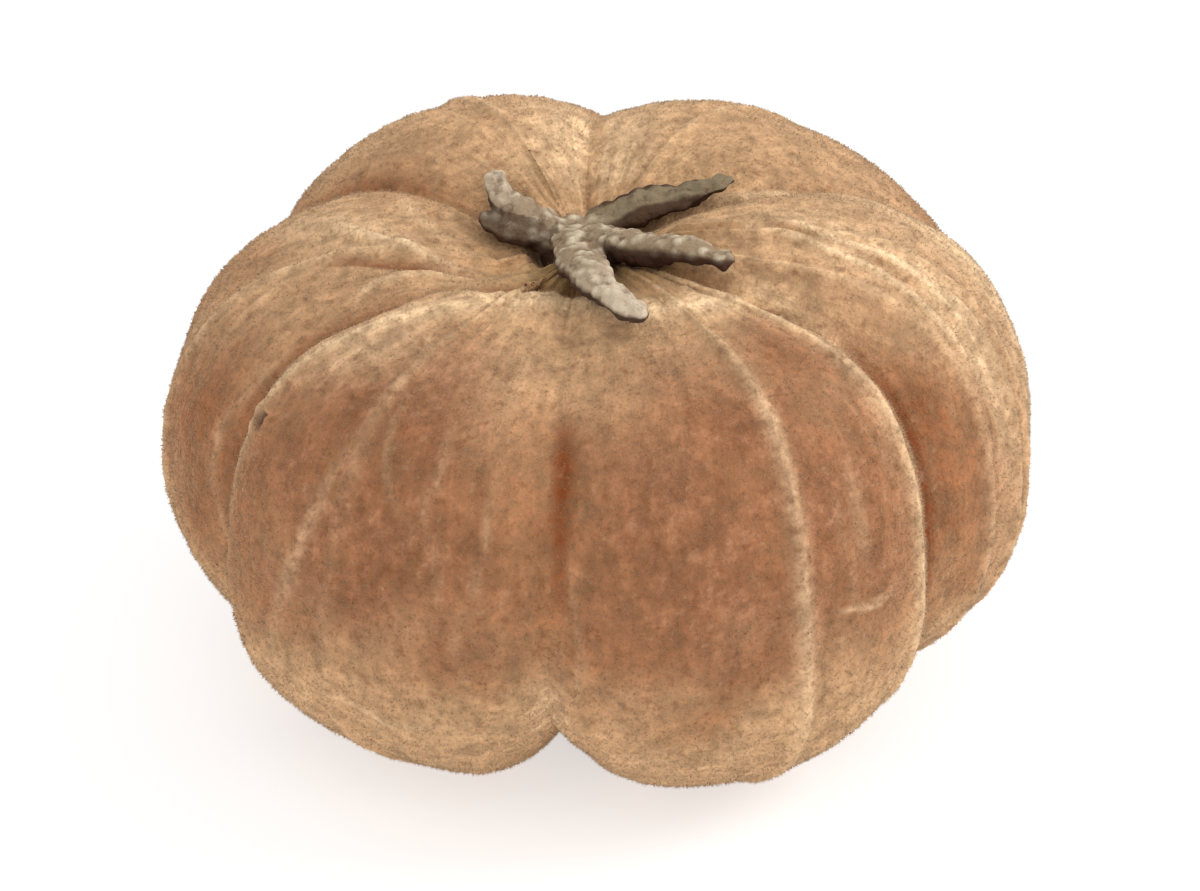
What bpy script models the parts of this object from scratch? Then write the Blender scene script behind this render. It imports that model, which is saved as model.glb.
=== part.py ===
# Dried putka pod: a squat husk of six lobes, the dried star of style arms in the hollow
# of its crown, and the corky stub of its stalk in the hollow of its base.
# Metres, +Z up, the origin on the ground below the middle of the husk.

import math
import random

import bmesh
import bpy
import numpy as np
from mathutils import Matrix, Vector

MM = 0.001
CLEARANCE = 0.3 * MM  # air that is left between two pieces

# The husk as a rounded body, measured from its middle, where it is widest
WAIST_RADIUS = 15.1 * MM
CROWN_HEIGHT = 10.3 * MM  # of the dome, before the hollow is taken out
BASE_DEPTH = 10.0 * MM
CROWN_SQUARENESS = 2.2  # 2 is an ellipse, more is squarer at the shoulder
BASE_SQUARENESS = 2.45
FRONT_TO_BACK = 0.97  # depth as a share of the width
CROWN_LEAN = -0.4 * MM  # how far the crown sits to the side of the middle
CROWN_SLANT = 0.5 * MM  # how much lower the crown is towards the slant's azimuth
SLANT_AZIMUTH = 225  # degrees
CROWN_PULL = 65  # degrees by which the front lobes narrow, at most, near the crown
PULL_POLAR, PULL_SPREAD = 20, 28  # degrees from the crown where that is most, and its reach
CREST_DIP = 0.95 * MM  # how much lower the front lobes' crest lies, at most
DIP_AZIMUTH, DIP_WIDTH = 262, 75  # degrees
DIP_POLAR, DIP_SPREAD = 42, 20

# Hollows round the axis: how deep, how wide
CROWN_HOLLOW = (3.2 * MM, 5.2 * MM)
BASE_HOLLOW = (2.6 * MM, 4.2 * MM)
STAR_PIT = (0.9 * MM, 1.7 * MM)
STUB_PIT = (1.0 * MM, 3.0 * MM)
STAR_X = -1.0 * MM  # where the star and its pit sit, a little beside the crown's centre
REST_SHAVE = 0.2 * MM  # what is worn flat off the lowest lobes

# Creases between the lobes: azimuth in degrees, depth as a share of the radius near the
# crown, at the waist and near the base, and how full the lobe before and the lobe after
# stay towards the crease (2 falls off gently, 8 stands over it as a lip)
CREASES = (
    (20, 0.110, 0.060, 0.100, 2.6, 2.4),
    (90, 0.105, 0.080, 0.100, 2.6, 2.6),
    (148, 0.125, 0.080, 0.100, 3.0, 2.8),
    (204, 0.085, 0.115, 0.110, 2.2, 7.5),
    (262, 0.035, 0.060, 0.230, 3.6, 3.6),
    (326, 0.090, 0.095, 0.150, 4.2, 2.2),
)
# How much the lobe after each crease swells, near the crown and near the base
SWELLS = (
    (-0.022, 0.035),
    (0.004, 0.030),
    (-0.075, 0.032),
    (0.0, 0.030),
    (0.0, 0.030),
    (0.028, -0.080),
)
POLE_FADE = 0.32  # sine of the polar angle inside which the creases run out

# Raised veins down the lobes: azimuth and half width in degrees, height
VEINS = (
    (58, 1.5, 0.10 * MM),
    (117, 1.5, 0.14 * MM),
    (180, 1.6, 0.22 * MM),
    (232, 1.5, 0.18 * MM),
    (298, 1.5, 0.22 * MM),
    (320, 1.8, 0.26 * MM),
    (339, 1.4, 0.16 * MM),
    (348, 1.3, 0.22 * MM),
    (352, 1.3, 0.20 * MM),
)
UNEVENNESS = 0.12 * MM  # slow rise and fall of the whole wall

# Mesh of the husk
RING_COUNT = 40
COLUMN_STEP = 5.5  # widest column in degrees
CREASE_COLUMNS = (-6.0, -2.8, -1.0, 0.0, 1.0, 2.8, 6.0)

# Arms of the star: azimuth at the root, turn towards the tip, length, half width, half
# thickness, and how far the tip stands off the crown
ARMS = (
    (160, -18, 3.3 * MM, 0.72 * MM, 0.54 * MM, 0.1 * MM),
    (184, -22, 3.1 * MM, 0.50 * MM, 0.40 * MM, 0.0 * MM),
    (274, 13, 7.7 * MM, 0.74 * MM, 0.55 * MM, 0.0 * MM),
    (22, -13, 5.4 * MM, 0.86 * MM, 0.34 * MM, 0.0 * MM),
    (305, 12, 7.2 * MM, 0.70 * MM, 0.54 * MM, 0.0 * MM),
)
ARM_RINGS = 8
ARM_SIDES = 8
ARM_ROUGHNESS = 0.10  # share by which an arm's rings swell and shrink
ARM_CLUB = 0.30  # how much thicker an arm is towards its tip than at its root

# Knob of the star: radius and height of each ring as a share of the whole, top to bottom
HUB_RADIUS = 1.05 * MM
HUB_RISE = 1.7 * MM
HUB_SIDES = 12
HUB_RINGS = ((0.80, 0.92), (1.00, 0.62), (0.85, 0.20), (0.55, 0.0))

# Stub of the stalk: radius of each ring as a share of the widest, and how far down it is
STUB_RADIUS = 1.75 * MM
STUB_LENGTH = 1.9 * MM
STUB_SIDES = 18
STUB_RINGS = ((0.72, 0.0), (0.86, 0.25), (0.95, 0.60), (1.00, 0.85), (0.86, 1.00))
STUB_DISH = 0.14  # how far the cut end is dished, as a share of the length
STUB_FURROW = 0.13  # depth of its corky furrows as a share of its radius

# Colours as seen on the pod
HUSK_COLOUR = "A87753"
STAR_COLOUR = "8C755E"
STUB_COLOUR = "5A3D2A"


def crease_depth(crease, polar):
    return np.interp(math.degrees(polar), (35, 90, 145), crease[1:4])


def lobe_share(azimuth, polar):
    """Radius at this azimuth, in degrees, and polar angle as a share of the plain body's."""
    starts = [crease[0] for crease in CREASES]
    after = next((i for i, start in enumerate(starts) if azimuth < start), 0)
    lower, upper = CREASES[after - 1], CREASES[after]
    span = (upper[0] - lower[0]) % 360
    across = 2 * ((azimuth - lower[0]) % 360) / span - 1
    crease, power = (lower, lower[5]) if across < 0 else (upper, upper[4])
    fade = min(1.0, math.sin(polar) / POLE_FADE) ** 2
    swell = np.interp(math.degrees(polar), (50, 130), SWELLS[after - 1]) * (1 - across**2)
    return 1 + (swell - crease_depth(crease, polar) * abs(across) ** power) * fade


def vein_height(azimuth, polar):
    total = 0.0
    for middle, half_width, height in VEINS:
        off = (azimuth - middle + 180) % 360 - 180
        total += height * math.exp(-((off / half_width) ** 2))
    return total * min(1.0, math.sin(polar) / POLE_FADE) ** 2


def unevenness(azimuth, polar):
    turn = math.radians(azimuth)
    waves = math.sin(3 * turn + 4.1 * polar) + math.sin(5 * turn - 6.3 * polar + 1.7)
    waves += 0.7 * math.sin(9 * turn + 5.2 * polar + 0.6)
    return UNEVENNESS * waves * math.sin(polar) / 2.7


def hollow(reach, size):
    return size[0] * math.exp(-((reach / size[1]) ** 2))


def pit(reach, size):
    """A shallow socket with a flat floor and a sloping wall."""
    slope = min(1.0, max(0.0, (size[1] - reach) / (0.4 * size[1])))
    return size[0] * slope * slope * (3 - 2 * slope)


def crown_pull(azimuth, polar):
    """Degrees by which a place is drawn to the front, so that the front lobes narrow upwards."""
    from_front = math.radians(270 - azimuth)
    share = math.sin(from_front) ** 3 * math.cos(from_front / 2) ** 4
    near_crown = math.exp(-(((math.degrees(polar) - PULL_POLAR) / PULL_SPREAD) ** 2))
    return CROWN_PULL * share * near_crown


def crest_dip(azimuth, polar):
    off = ((azimuth - DIP_AZIMUTH + 180) % 360 - 180) / DIP_WIDTH
    down = (math.degrees(polar) - DIP_POLAR) / DIP_SPREAD
    return CREST_DIP * math.exp(-(off * off) - down * down)


def husk_point(azimuth, polar):
    """A point of the husk, measured from its middle. The polar angle runs from the crown."""
    sine, cosine = math.sin(polar), math.cos(polar)
    upper = cosine > 0
    height = CROWN_HEIGHT if upper else BASE_DEPTH
    power = CROWN_SQUARENESS if upper else BASE_SQUARENESS
    body = (abs(sine / WAIST_RADIUS) ** power + abs(cosine / height) ** power) ** (-1 / power)
    radius = body * lobe_share(azimuth, polar)
    radius += vein_height(azimuth, polar) + unevenness(azimuth, polar)
    reach = radius * sine
    rise = radius * cosine
    turn = math.radians(azimuth)
    if upper:
        rise -= hollow(reach, CROWN_HOLLOW) + crest_dip(azimuth, polar)
        lowered = CROWN_SLANT * math.cos(turn - math.radians(SLANT_AZIMUTH)) * cosine
        rise -= lowered * min(1.0, sine / POLE_FADE) ** 2
    else:
        rise += hollow(reach, BASE_HOLLOW) + pit(reach, STUB_PIT)
    # the creases wander a little on their way down, as grown ones do
    wander = 1.6 * math.sin(turn + 3.1 * polar) + 1.1 * math.sin(2 * turn - 5.0 * polar + 1.0)
    turn += math.radians(wander * sine + crown_pull(azimuth, polar))
    x = reach * math.cos(turn) + CROWN_LEAN * cosine
    y = reach * math.sin(turn) * FRONT_TO_BACK
    if upper:
        rise -= pit(math.hypot(x - STAR_X, y), STAR_PIT)
    return Vector((x, y, rise))


def before_pull(azimuth, polar):
    """The azimuth that the pull draws to this one."""
    source = azimuth
    for _ in range(8):
        source = azimuth - crown_pull(source, polar)
    return source % 360


def crown_height(x, y):
    """Height of the crown at this place, found by halving the polar angle."""
    across, ahead = x - CROWN_LEAN, y / FRONT_TO_BACK
    azimuth, reach = math.degrees(math.atan2(ahead, across)), math.hypot(across, ahead)
    low, high = 0.0, math.radians(70)
    for _ in range(30):
        middle = (low + high) / 2
        point = husk_point(before_pull(azimuth, middle), middle)
        if math.hypot(point.x - CROWN_LEAN, point.y / FRONT_TO_BACK) < reach:
            low = middle
        else:
            high = middle
    return point.z


def crown_under(x, y, room):
    """The highest of the crown round this place, as far as this on each side."""
    steps = (-room, 0, room)
    return max(crown_height(x + east, y + north) for east in steps for north in steps)


def columns():
    """Azimuths of the husk's columns: close at creases and veins, even between them."""
    marks = [crease[0] + step for crease in CREASES for step in CREASE_COLUMNS]
    marks += [vein[0] + side * vein[1] for vein in VEINS for side in (-1, 0, 1)]
    marks = sorted(mark % 360 for mark in marks)
    found = []
    for mark, following in zip(marks, marks[1:] + [marks[0] + 360]):
        steps = max(1, math.ceil((following - mark) / COLUMN_STEP))
        if following - mark > 0.5:
            found += [mark + (following - mark) * i / steps for i in range(steps)]
    return found


def level_ring(centre, radii):
    """Points round a centre, at these radii and evenly turned."""
    turns = [2 * math.pi * k / len(radii) for k in range(len(radii))]
    return [centre + Vector((r * math.cos(t), r * math.sin(t), 0)) for r, t in zip(radii, turns)]


def close_rings(name, rings, first, last):
    """A closed mesh of rings of points, with a point at each end. Rings turn anticlockwise
    seen from the first end."""
    mesh = bpy.data.meshes.new(name)
    shape = bmesh.new()
    grid = [[shape.verts.new(point) for point in ring] for ring in rings]
    start, end = shape.verts.new(first), shape.verts.new(last)
    count = len(rings[0])
    for i in range(count):
        j = (i + 1) % count
        shape.faces.new((start, grid[0][i], grid[0][j]))
        for above, below in zip(grid, grid[1:]):
            shape.faces.new((above[i], below[i], below[j], above[j]))
        shape.faces.new((end, grid[-1][j], grid[-1][i]))
    shape.to_mesh(mesh)
    shape.free()
    return mesh


def linear(code):
    """Linear colour from an sRGB hex code."""
    parts = [int(code[i : i + 2], 16) / 255 for i in (0, 2, 4)]
    return [p / 12.92 if p <= 0.04045 else ((p + 0.055) / 1.055) ** 2.4 for p in parts] + [1.0]


def coloured(mesh, name, code, roughness):
    material = bpy.data.materials.new(name)
    material.use_nodes = True
    shader = material.node_tree.nodes["Principled BSDF"]
    shader.inputs["Base Color"].default_value = linear(code)
    shader.inputs["Roughness"].default_value = roughness
    shader.inputs["Metallic"].default_value = 0.0
    mesh.materials.clear()
    mesh.materials.append(material)


def placed(name, mesh):
    thing = bpy.data.objects.new(name, mesh)
    bpy.context.collection.objects.link(thing)
    return thing


def make_husk():
    """The husk in its own frame, and what carries that frame to the ground."""
    azimuths = columns()
    polars = [math.pi * (i + 1) / (RING_COUNT + 1) for i in range(RING_COUNT)]
    rings = [[husk_point(azimuth, polar) for azimuth in azimuths] for polar in polars]
    spots = np.array([point for ring in rings for point in ring])
    low, high = spots.min(axis=0), spots.max(axis=0)
    floor = low[2] + REST_SHAVE
    shift = Vector((-(low[0] + high[0]) / 2, -(low[1] + high[1]) / 2, -floor))
    for ring in rings:
        for point in ring:
            point.z = max(point.z, floor)
    for i, ring in enumerate(rings):
        rings[i] = [point + shift for point in ring]
    crown, base = husk_point(0, 0) + shift, husk_point(0, math.pi) + shift
    mesh = close_rings("pod_husk", rings, crown, base)
    coloured(mesh, "dried_husk", HUSK_COLOUR, 0.85)
    mesh.shade_smooth()
    placed("pod_husk", mesh)
    return shift


def arm_mesh(arm, hub_top, draw):
    """A blunt, slightly clubbed arm that leaves the knob and follows the crown."""
    azimuth, bend, length, half_width, half_thickness, lift = arm
    centres = []
    for i in range(ARM_RINGS):
        along = i / (ARM_RINGS - 1)
        turn = math.radians(azimuth + bend * along * along)
        x, y = length * along * math.cos(turn) + STAR_X, length * along * math.sin(turn)
        lying = crown_under(x, y, half_width * 0.7) + CLEARANCE
        lying += half_thickness * 1.1 + lift * along**2
        stand = 1 - min(1.0, along * 2.2)
        height = max(lying, lying * (1 - stand) + hub_top * stand)
        centres.append(Vector((x, y, height)))
    rings = []
    for i, centre in enumerate(centres):
        along = i / (ARM_RINGS - 1)
        ahead = centres[min(i + 1, ARM_RINGS - 1)] - centres[max(i - 1, 0)]
        side = ahead.cross(Vector((0, 0, 1))).normalized()
        up = side.cross(ahead).normalized()
        size = 0.78 + ARM_CLUB * math.sin(math.pi * min(1.0, along * 1.15))
        size *= 1 - ARM_CLUB * along**6
        ring = []
        for k in range(ARM_SIDES):
            angle = 2 * math.pi * k / ARM_SIDES
            swell = size * (1 + ARM_ROUGHNESS * draw.uniform(-1, 1))
            across = side * math.cos(angle) * half_width * swell
            ring.append(centre + across + up * math.sin(angle) * half_thickness * swell)
        rings.append(ring)
    reach = (centres[-1] - centres[-2]).normalized()
    start = centres[0] - reach * half_thickness * 0.3
    return close_rings("style_arm", rings, start, centres[-1] + reach * half_width * 0.55)


def make_star(shift):
    draw = random.Random(7)
    floor = crown_under(STAR_X, 0, HUB_RADIUS * 0.5) + CLEARANCE
    hub_top = floor + HUB_RISE
    rings = []
    for share, rise in HUB_RINGS:
        radii = [HUB_RADIUS * share * draw.uniform(0.95, 1.05) for _ in range(HUB_SIDES)]
        rings.append(level_ring(Vector((STAR_X, 0, floor + rise * HUB_RISE)), radii))
    top, bottom = Vector((STAR_X, 0, hub_top)), Vector((STAR_X, 0, floor))
    star = placed("style_star", close_rings("style_hub", rings, top, bottom))
    arms = bpy.data.collections.new("style_arms")
    bpy.context.scene.collection.children.link(arms)
    for i, arm in enumerate(ARMS):
        mesh = arm_mesh(arm, hub_top - arm[4], draw)
        arms.objects.link(bpy.data.objects.new(f"style_arm_{i + 1}", mesh))
    join = star.modifiers.new("join arms", "BOOLEAN")
    join.operation = "UNION"
    join.operand_type = "COLLECTION"
    join.collection = arms
    join.solver = "EXACT"
    bpy.context.view_layer.update()
    solid = star.evaluated_get(bpy.context.evaluated_depsgraph_get())
    joined = bpy.data.meshes.new_from_object(solid)
    star.modifiers.remove(join)
    star.data = joined
    for arm in list(arms.objects):
        bpy.data.objects.remove(arm)
    bpy.data.collections.remove(arms)
    joined.transform(Matrix.Translation(shift))
    coloured(joined, "dried_style", STAR_COLOUR, 0.9)
    joined.shade_smooth()
    joined.set_sharp_from_angle(angle=math.radians(45))


def make_stub(shift):
    draw = random.Random(3)
    fall = BASE_HOLLOW[0] - hollow(STUB_RADIUS, BASE_HOLLOW)
    top = husk_point(0, math.pi).z - CLEARANCE - fall
    start = Vector((-CROWN_LEAN, 0, top)) + shift
    drop = Vector((0, 0, -STUB_LENGTH))
    rings = []
    for share, down in STUB_RINGS:
        furrows = [STUB_FURROW * (k % 2) * draw.uniform(0.5, 1) for k in range(STUB_SIDES)]
        radii = [STUB_RADIUS * share * (1 - furrow) for furrow in furrows]
        rings.append(level_ring(start + drop * down, radii))
    mesh = close_rings("stalk_stub", rings, start, start + drop * (1 - STUB_DISH))
    coloured(mesh, "corky_stalk", STUB_COLOUR, 0.95)
    placed("stalk_stub", mesh)


for old in list(bpy.data.objects):
    bpy.data.objects.remove(old)
ground_shift = make_husk()
make_star(ground_shift)
make_stub(ground_shift)
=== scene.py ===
# Dried putka pod: a squat seed husk of six lobes in a short felt coat, the withered star of
# style arms in the hollow of its crown, and the corky stub of its stalk in its base.
import math

import bpy
import numpy as np
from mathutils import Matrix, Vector, noise


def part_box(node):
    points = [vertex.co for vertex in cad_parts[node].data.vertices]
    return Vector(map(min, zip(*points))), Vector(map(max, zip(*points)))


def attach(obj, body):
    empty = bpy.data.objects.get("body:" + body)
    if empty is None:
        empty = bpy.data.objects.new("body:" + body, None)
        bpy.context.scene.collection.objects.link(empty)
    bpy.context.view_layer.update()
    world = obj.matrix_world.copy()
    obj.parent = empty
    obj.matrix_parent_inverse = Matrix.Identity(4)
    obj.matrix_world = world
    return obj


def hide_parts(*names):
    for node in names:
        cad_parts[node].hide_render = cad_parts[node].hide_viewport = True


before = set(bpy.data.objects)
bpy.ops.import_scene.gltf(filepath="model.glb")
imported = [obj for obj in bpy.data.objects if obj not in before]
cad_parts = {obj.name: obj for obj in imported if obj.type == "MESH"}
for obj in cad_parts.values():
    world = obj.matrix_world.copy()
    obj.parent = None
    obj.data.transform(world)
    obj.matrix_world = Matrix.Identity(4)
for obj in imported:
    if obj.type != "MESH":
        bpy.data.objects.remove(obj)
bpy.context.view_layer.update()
print("frame loaded")

mm = 0.001  # every size in the dictionaries is in millimetres, every angle in degrees
bumpStrength = 0.9


def linear(code):
    parts = [int(code[i : i + 2], 16) / 255 for i in (0, 2, 4)]
    return [p / 12.92 if p <= 0.04045 else ((p + 0.055) / 1.055) ** 2.4 for p in parts] + [1.0]


# Adds one node: links maps sockets to outputs, values maps sockets to constants
def addNode(tree, kind, links=None, values=None, **settings):
    made = tree.nodes.new(kind)
    for name, value in settings.items():
        setattr(made, name, value)
    for socket, value in (values or {}).items():
        made.inputs[socket].default_value = value
    for socket, source in (links or {}).items():
        tree.links.new(source, made.inputs[socket])
    return made


# A material with an empty shader that is ready for its colour and bump
def startMaterial(name, constants):
    material = bpy.data.materials.new(name)
    material.use_nodes = True
    tree = material.node_tree
    shader = tree.nodes["Principled BSDF"]
    for socket, value in constants.items():
        shader.inputs[socket].default_value = value
    return material, tree, shader


def plainColour(tree, code):
    colour = addNode(tree, "ShaderNodeRGB").outputs[0]
    colour.default_value = linear(code)
    return colour


# A noise of a grain, a detail and a roughness, with its grain in the given unit
def noiseOf(tree, place, kind, unit):
    grain, detail, roughness = kind
    return addNode(
        tree, "ShaderNodeTexNoise", {"Vector": place},
        {"Scale": 1 / (grain * unit), "Detail": detail, "Roughness": roughness},
    ).outputs["Fac"]


def maskOf(tree, name):
    return addNode(tree, "ShaderNodeAttribute", attribute_name=name).outputs["Fac"]


def ranged(tree, source, low, high, least, most):
    return addNode(
        tree, "ShaderNodeMapRange", {0: source}, {1: low, 2: high, 3: least, 4: most}
    ).outputs[0]


def added(tree, first, second):
    return addNode(tree, "ShaderNodeMath", {0: first, 1: second}, operation="ADD").outputs[0]


def mixed(tree, colour, share, code):
    return addNode(
        tree, "ShaderNodeMix", {0: share, 6: colour}, {7: linear(code)}, data_type="RGBA"
    ).outputs[2]


def finishMaterial(tree, shader, colour, height, reliefHeight):
    bump = addNode(
        tree, "ShaderNodeBump", {"Height": height},
        {"Strength": bumpStrength, "Distance": reliefHeight * mm},
    ).outputs[0]
    tree.links.new(colour, shader.inputs["Base Color"])
    tree.links.new(bump, shader.inputs["Normal"])


def smooth(value, low, high):
    share = np.clip((value - low) / (high - low), 0, 1)
    return share * share * (3 - 2 * share)


def turned(azimuth, middle):
    return (azimuth - middle + 180) % 360 - 180


# A soft bump over the distance from its middle, 1 there and low beyond its width
def bell(off, width):
    return np.exp(-((off / width) ** 2))


def noiseAt(points, grain):
    return np.array([noise.noise(p) for p in (points / grain).tolist()])


# Puts a mesh of points in millimetres into the scene as one piece of the pod
def addPiece(name, points, faces, material, masks, replaced=None):
    mesh = bpy.data.meshes.new(name)
    mesh.from_pydata((points * mm).tolist(), [], faces)
    for mask, values in masks.items():
        layer = mesh.attributes.new(mask, "FLOAT", "POINT")
        layer.data.foreach_set("value", np.asarray(values, np.float32))
    mesh.materials.append(material)
    mesh.shade_smooth()
    piece = bpy.data.objects.new(name, mesh)
    bpy.context.scene.collection.objects.link(piece)
    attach(piece, "root")
    if replaced:
        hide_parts(replaced)
    print(f"{name}: {len(points)} points, {len(faces)} faces")
    return piece


# The husk's body, as the frame has it
pod = dict(
    waistRadius=15.1,
    crownHeight=10.3,
    crownSlant=(0.5, 225),  # how much lower the crown is towards this azimuth
    crownPull=65,  # how far the front lobes narrow near the crown
    pullPolar=(20, 28),  # where from the crown that is most, and its reach
    crestDip=0.95,  # how much lower the front lobes' crest lies, at most
    dipAzimuth=(262, 75),
    dipPolar=(42, 20),
    baseDepth=10.0,
    crownSquareness=2.2,
    baseSquareness=2.45,
    frontToBack=0.97,
    crownLean=-0.4,
    crownHollow=(3.2, 5.2),
    baseHollow=(2.6, 4.2),
    starPit=(0.9, 1.7),
    stubPit=(1.0, 3.0),
    starX=-1.0,  # where the star and its pit sit, a little beside the crown's centre
    poleFade=0.32,
    pitSlope=0.4,  # how much of a pit's radius its wall takes up
    unevenness=0.12,
    # waves in the wall: share, how often round the pod and downwards, and start
    waves=((1.0, 3, 4.1, 0.0), (1.0, 5, -6.3, 1.7), (0.7, 9, 5.2, 0.6)),
    # how far the wall wanders round the pod, in degrees, in the same form
    wander=((1.6, 1, 3.1, 0.0), (1.1, 2, -5.0, 1.0)),
    # polar angles that the depths of the creases and the swells are given for
    creasePolars=(35, 90, 145),
    swellPolars=(50, 130),
    # azimuth, depth near the crown, at the waist and near the base, fullness before and after
    creases=(
        (20, 0.110, 0.060, 0.100, 2.6, 2.4),
        (90, 0.105, 0.080, 0.100, 2.6, 2.6),
        (148, 0.125, 0.080, 0.100, 3.0, 2.8),
        (204, 0.085, 0.115, 0.110, 2.2, 7.5),
        (262, 0.035, 0.060, 0.230, 3.6, 3.6),
        (326, 0.090, 0.095, 0.150, 4.2, 2.2),
    ),
    # swell of the lobe after each crease, near the crown and near the base
    swells=(
        (-0.022, 0.035),
        (0.004, 0.030),
        (-0.075, 0.032),
        (0.0, 0.030),
        (0.0, 0.030),
        (0.028, -0.080),
    ),
    # azimuth, half width in degrees, height
    veins=(
        (58, 1.5, 0.10),
        (117, 1.5, 0.14),
        (180, 1.6, 0.22),
        (232, 1.5, 0.18),
        (298, 1.5, 0.22),
        (320, 1.8, 0.26),
        (339, 1.4, 0.16),
        (348, 1.3, 0.22),
        (352, 1.3, 0.20),
    ),
)


# Place inside the lobe, -1 at the crease before it and 1 at the crease after it
def lobePlace(azimuth):
    starts = np.array([crease[0] for crease in pod["creases"]])
    after = np.searchsorted(starts, azimuth, side="right") % len(starts)
    span = (starts[after] - starts[after - 1]) % 360
    return after, 2 * ((azimuth - starts[after - 1]) % 360) / span - 1


# How far a place is from the poles, from 0 to 1
def awayFromPoles(polar):
    return np.minimum(1, np.sin(polar) / pod["poleFade"]) ** 2


def lobeShare(azimuth, polar):
    after, across = lobePlace(azimuth)
    creases, degrees = np.array(pod["creases"]), np.degrees(polar)
    depths = [np.interp(degrees, pod["creasePolars"], crease[1:4]) for crease in creases]
    swells = [np.interp(degrees, pod["swellPolars"], swell) for swell in pod["swells"]]
    nearer = np.where(across < 0, after - 1, after) % len(creases)
    power = np.where(across < 0, creases[nearer, 5], creases[nearer, 4])
    grid = azimuth * polar
    depth = np.choose(nearer, np.broadcast_arrays(*depths, grid)[:-1])
    swell = np.choose((after - 1) % len(creases), np.broadcast_arrays(*swells, grid)[:-1])
    swell = swell * (1 - across**2)
    return 1 + (swell - depth * np.abs(across) ** power) * awayFromPoles(polar)


def veinShare(azimuth):
    return [bell(turned(azimuth, vein[0]), vein[1]) for vein in pod["veins"]]


def hollow(reach, size):
    return size[0] * bell(reach, size[1])


def pit(reach, size):
    return size[0] * smooth(size[1] - reach, 0, pod["pitSlope"] * size[1])


def waveSum(waves, turn, polar):
    return sum(share * np.sin(n * turn + down * polar + start) for share, n, down, start in waves)


# Degrees by which a place is drawn to the front, so that the front lobes narrow upwards
def crownPull(azimuth, polar):
    fromFront = np.radians(270 - azimuth)
    share = np.sin(fromFront) ** 3 * np.cos(fromFront / 2) ** 4
    middle, spread = pod["pullPolar"]
    return pod["crownPull"] * share * bell(np.degrees(polar) - middle, spread)


def crestDip(azimuth, polar):
    off = turned(azimuth, pod["dipAzimuth"][0]) / pod["dipAzimuth"][1]
    down = (np.degrees(polar) - pod["dipPolar"][0]) / pod["dipPolar"][1]
    return pod["crestDip"] * np.exp(-(off**2) - down**2)


# Points of the plain husk from its own middle; the polar angle runs from the crown, in radians
def huskForm(azimuth, polar):
    sine, cosine = np.sin(polar), np.cos(polar)
    upper = cosine > 0
    height = np.where(upper, pod["crownHeight"], pod["baseDepth"])
    power = np.where(upper, pod["crownSquareness"], pod["baseSquareness"])
    body = np.abs(sine / pod["waistRadius"]) ** power + np.abs(cosine / height) ** power
    radius = body ** (-1 / power) * lobeShare(azimuth, polar)
    raised = sum(share * vein[2] for share, vein in zip(veinShare(azimuth), pod["veins"]))
    radius = radius + raised * awayFromPoles(polar)
    turn = np.radians(azimuth)
    waves = waveSum(pod["waves"], turn, polar) / sum(wave[0] for wave in pod["waves"])
    radius = radius + pod["unevenness"] * waves * sine
    reach = radius * sine
    sunkCrown = hollow(reach, pod["crownHollow"]) + crestDip(azimuth, polar)
    sunkBase = hollow(reach, pod["baseHollow"]) + pit(reach, pod["stubPit"])
    rise = radius * cosine + np.where(upper, -sunkCrown, sunkBase)
    slant, towards = pod["crownSlant"]
    lowered = slant * np.cos(turn - math.radians(towards)) * awayFromPoles(polar) * cosine
    rise = rise - np.where(upper, lowered, 0)
    wander = waveSum(pod["wander"], turn, polar)
    turn = turn + np.radians(wander * sine + crownPull(azimuth, polar))
    x = reach * np.cos(turn) + pod["crownLean"] * cosine
    y = reach * np.sin(turn) * pod["frontToBack"]
    rise = rise - np.where(upper, pit(np.hypot(x - pod["starX"], y), pod["starPit"]), 0)
    return np.stack([x, y, rise], axis=-1)


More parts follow.
